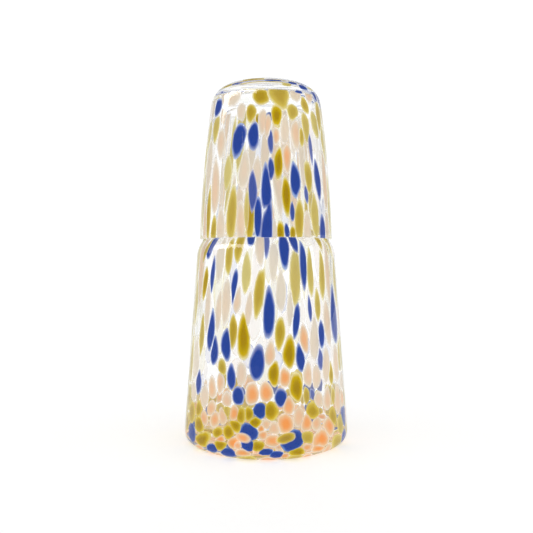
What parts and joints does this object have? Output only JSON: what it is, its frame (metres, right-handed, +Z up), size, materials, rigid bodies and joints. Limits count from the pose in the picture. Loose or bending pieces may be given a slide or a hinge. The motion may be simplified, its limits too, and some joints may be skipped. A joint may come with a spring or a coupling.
{
  "type": "bedside carafe with tumbler",
  "caption": "Tapered clear glass carafe with a straight neck, and an upturned glass tumbler that covers the neck and rests on the shoulder. Coloured chips are melted into both walls.",
  "frame": {"origin": "centre of the carafe's foot, on the surface that it stands on", "axes": "+Z up along the shared axis of carafe and tumbler; all sides are alike, and +X and +Y are any two of them at right angles"},
  "size_m": [0.0946, 0.0946, 0.2058],
  "materials": {
    "clear_glass": "clear polished",
    "blue_glass": "deep cobalt blue, nearly opaque",
    "amber_glass": "cloudy olive amber",
    "peach_glass": "milky peach"
  },
  "bodies": {
    "carafe": {"carafe_glass": "clear_glass", "carafe_blue_chips": "blue_glass", "carafe_amber_chips": "amber_glass", "carafe_peach_chips": "peach_glass"},
    "tumbler": {"tumbler_glass": "clear_glass", "tumbler_blue_chips": "blue_glass", "tumbler_amber_chips": "amber_glass", "tumbler_peach_chips": "peach_glass"}
  },
  "joints": [
    {"name": "tumbler_lift", "type": "slide", "parent": "carafe", "child": "tumbler", "axis": [0, 0, 1], "range_m": [0, 0.1]}
  ]
}
